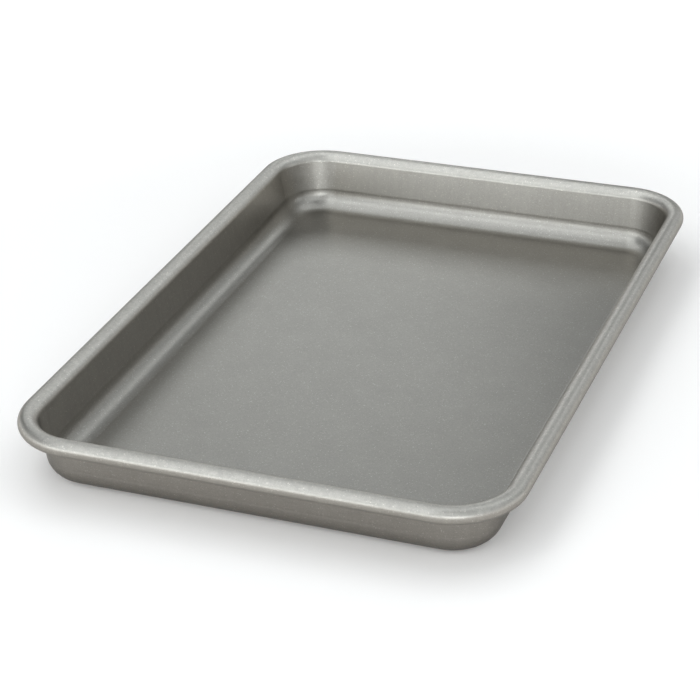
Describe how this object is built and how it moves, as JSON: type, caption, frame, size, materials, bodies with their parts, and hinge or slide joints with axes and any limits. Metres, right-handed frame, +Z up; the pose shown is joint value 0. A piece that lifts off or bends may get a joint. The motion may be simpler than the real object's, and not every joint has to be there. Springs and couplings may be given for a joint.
{
  "type": "jelly roll pan",
  "caption": "Shallow rectangular baking tray with a flat floor, flared walls, round corners and a rim rolled over a stiffening wire.",
  "frame": {"origin": "on the table plane, under the middle of the floor", "axes": "+Z up, +Y along the long side, +X across the short side"},
  "size_m": [0.225, 0.33, 0.029],
  "materials": {
    "coated_sheet": "satin non-stick coating, warm grey with a fine metallic speckle",
    "plated_wire": "drawn steel wire, thin zinc plate"
  },
  "bodies": {
    "root": {"pan_body": "coated_sheet", "rim_wire": "plated_wire"}
  },
  "joints": []
}
